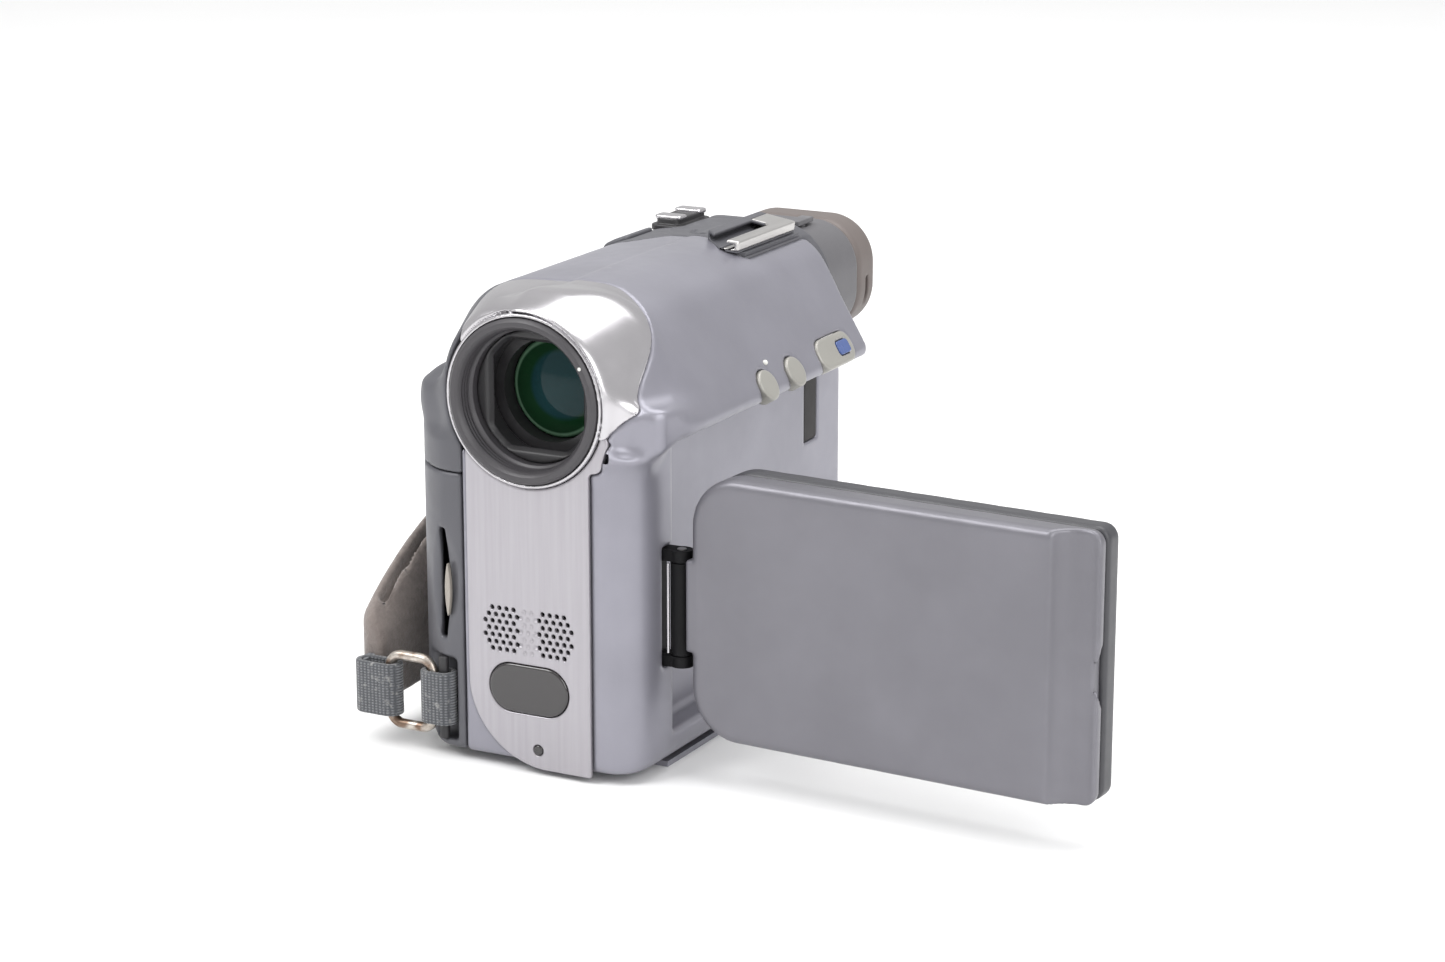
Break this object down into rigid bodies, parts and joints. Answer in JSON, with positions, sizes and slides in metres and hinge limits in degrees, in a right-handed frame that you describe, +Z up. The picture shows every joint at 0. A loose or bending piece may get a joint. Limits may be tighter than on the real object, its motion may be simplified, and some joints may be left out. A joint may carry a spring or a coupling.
{
  "type": "camcorder",
  "caption": "Small upright tape camcorder with a swing-out screen, hand strap, sliding viewfinder, side cassette door, filter thread and tripod socket.",
  "frame": {"origin": "centre of the tripod socket's mouth, on the surface that the camcorder stands on", "axes": "+Z up, the lens looks along -Y, +X points out of the side that the screen opens from"},
  "size_m": [0.1408, 0.1098, 0.0872],
  "materials": {
    "lavender_plastic": "fine-textured moulded plastic with a pearl tint",
    "grip_plastic": "fine-textured grey plastic",
    "faceplate_metal": "fine vertical brush marks",
    "chrome_trim": "polished, lightly worn",
    "black_plastic": "fine matt",
    "lens_glass": "coated optical glass",
    "smoked_plastic": "smoked window",
    "steel": "brushed",
    "circuit_board": "solder mask",
    "taupe_plastic": "warm grey moulded plastic",
    "eyecup_rubber": "soft matt rubber",
    "button_plastic": "satin",
    "blue_plastic": "clear blue insert",
    "red_plastic": "satin",
    "screen_plastic": "fine-textured moulded plastic",
    "bezel_plastic": "satin",
    "screen_glass": "glossy dark panel",
    "white_plastic": "plain",
    "brass": "plated contacts",
    "battery_plastic": "fine-textured",
    "suede": "napped synthetic suede",
    "webbing": "woven nylon, frayed at the edges",
    "nickel": "tarnished nickel plate",
    "aluminium_frame": "bare die casting"
  },
  "bodies": {
    "body": {"left_cabinet": "lavender_plastic", "grip_cabinet": "grip_plastic", "front_plate": "faceplate_metal", "lens_cowl": "chrome_trim", "filter_ring": "black_plastic", "lens_mask": "black_plastic", "front_lens": "lens_glass", "rear_lens": "lens_glass", "lens_barrel": "black_plastic", "image_sensor": "circuit_board", "microphones": "black_plastic", "infrared_window": "smoked_plastic", "recording_lamp": "red_plastic", "top_cover": "grip_plastic", "shoe_plate": "screen_plastic", "accessory_shoe": "steel", "rear_cover": "lavender_plastic", "battery_terminal": "brass", "hinge_bracket": "black_plastic", "hinge_pin": "steel", "tape_chassis": "aluminium_frame", "main_board": "circuit_board", "speaker": "black_plastic", "base_plate": "lavender_plastic", "tripod_socket": "steel", "body_screws": "steel"},
    "screen_arm": {"hinge_arm": "black_plastic"},
    "screen": {"screen_cover": "screen_plastic", "screen_bezel": "bezel_plastic", "screen_glass": "screen_glass", "screen_backlight": "white_plastic"},
    "viewfinder": {"viewfinder_housing": "taupe_plastic", "eyecup": "eyecup_rubber", "eyepiece_lens": "lens_glass", "viewfinder_display": "screen_glass"},
    "easy_button": {"easy_button": "button_plastic", "easy_insert": "blue_plastic"},
    "cassette_door": {"cassette_door": "grip_plastic", "cassette_carriage": "steel", "strap_pad": "suede", "strap_webbing": "webbing", "strap_ring": "nickel", "strap_anchor": "steel"},
    "screen_record_button": {"screen_record_button": "red_plastic"},
    "screen_wide_button": {"screen_wide_button": "button_plastic"},
    "screen_tele_button": {"screen_tele_button": "button_plastic"},
    "diopter_lever": {"diopter_lever": "black_plastic"},
    "zoom_lever": {"zoom_lever": "chrome_trim"},
    "photo_button": {"photo_button": "grip_plastic"},
    "mode_dial": {"mode_dial": "black_plastic"},
    "start_stop_button": {"start_stop_button": "red_plastic"},
    "battery": {"battery": "battery_plastic"},
    "battery_latch": {"battery_latch": "steel"},
    "jack_cover": {"jack_cover": "eyecup_rubber"},
    "backlight_button": {"backlight_button": "button_plastic"},
    "display_button": {"display_button": "button_plastic"},
    "head_drum": {"head_drum": "aluminium_frame"},
    "supply_reel": {"supply_reel": "white_plastic"},
    "takeup_reel": {"takeup_reel": "white_plastic"},
    "eject_slider": {"eject_slider": "black_plastic"}
  },
  "joints": [
    {"name": "screen_open", "type": "hinge", "parent": "body", "child": "screen_arm", "pos_m": [0.024, -0.0327, 0.032], "axis": [0, 0, 1], "range_deg": [0, 93.5]},
    {"name": "screen_tilt", "type": "hinge", "parent": "screen_arm", "child": "screen", "pos_m": [0.02413, -0.0305, 0.032], "axis": [0.9981, -0.061, 0], "range_deg": [0, 180]},
    {"name": "screen_record_press", "type": "slide", "parent": "screen", "child": "screen_record_button", "axis": [-0.061, -0.9981, 0], "range_m": [0, 0.0003], "stiffness_N_per_m": 250},
    {"name": "screen_wide_press", "type": "slide", "parent": "screen", "child": "screen_wide_button", "axis": [-0.061, -0.9981, 0], "range_m": [0, 0.0003], "stiffness_N_per_m": 250},
    {"name": "screen_tele_press", "type": "slide", "parent": "screen", "child": "screen_tele_button", "axis": [-0.061, -0.9981, 0], "range_m": [0, 0.0003], "stiffness_N_per_m": 250},
    {"name": "viewfinder_slide", "type": "slide", "parent": "body", "child": "viewfinder", "axis": [0, 1, 0], "range_m": [0, 0.008]},
    {"name": "diopter_turn", "type": "hinge", "parent": "viewfinder", "child": "diopter_lever", "pos_m": [0.0065, 0.048, 0.083], "axis": [0, 0, 1], "range_deg": [-20, 20]},
    {"name": "zoom_slide", "type": "slide", "parent": "body", "child": "zoom_lever", "axis": [0, 1, 0], "range_m": [-0.0015, 0.0015], "stiffness_N_per_m": 150},
    {"name": "photo_press", "type": "slide", "parent": "body", "child": "photo_button", "axis": [0, 0, -1], "range_m": [0, 0.0005], "stiffness_N_per_m": 250},
    {"name": "mode_turn", "type": "hinge", "parent": "body", "child": "mode_dial", "pos_m": [-0.019, 0.046, 0.04], "axis": [0, 1, 0], "range_deg": [0, 90]},
    {"name": "start_stop_press", "type": "slide", "parent": "body", "child": "start_stop_button", "axis": [0, -1, 0], "range_m": [0, 0.0008], "stiffness_N_per_m": 250},
    {"name": "battery_slide", "type": "slide", "parent": "body", "child": "battery", "axis": [0, 1, 0], "range_m": [0, 0.034]},
    {"name": "battery_latch_slide", "type": "slide", "parent": "body", "child": "battery_latch", "axis": [0, 0, 1], "range_m": [0, 0.0012], "stiffness_N_per_m": 250},
    {"name": "jack_cover_open", "type": "hinge", "parent": "body", "child": "jack_cover", "pos_m": [0.0159, 0.0311, 0.051], "axis": [0, 0, 1], "range_deg": [-80, 0]},
    {"name": "backlight_press", "type": "slide", "parent": "body", "child": "backlight_button", "axis": [-0.8595, 0, -0.5111], "range_m": [0, 0.0004], "stiffness_N_per_m": 250},
    {"name": "display_press", "type": "slide", "parent": "body", "child": "display_button", "axis": [-0.8595, 0, -0.5111], "range_m": [0, 0.0004], "stiffness_N_per_m": 250},
    {"name": "easy_press", "type": "slide", "parent": "body", "child": "easy_button", "axis": [-0.8595, 0, -0.5111], "range_m": [0, 0.0004], "stiffness_N_per_m": 250},
    {"name": "cassette_door_open", "type": "hinge", "parent": "body", "child": "cassette_door", "pos_m": [-0.0146, 0, 0.0029], "axis": [0, -1, 0], "range_deg": [0, 22]},
    {"name": "head_drum_spin", "type": "hinge", "parent": "body", "child": "head_drum", "pos_m": [-0.018, -0.0056, 0.064], "axis": [1, 0, 0], "continuous": true},
    {"name": "supply_reel_spin", "type": "hinge", "parent": "body", "child": "supply_reel", "pos_m": [-0.014, -0.016, 0.024], "axis": [1, 0, 0], "continuous": true},
    {"name": "takeup_reel_spin", "type": "hinge", "parent": "body", "child": "takeup_reel", "pos_m": [-0.014, 0.015, 0.024], "axis": [1, 0, 0], "continuous": true},
    {"name": "eject_slide", "type": "slide", "parent": "body", "child": "eject_slider", "axis": [1, 0, 0], "range_m": [0, 0.004], "stiffness_N_per_m": 100}
  ]
}
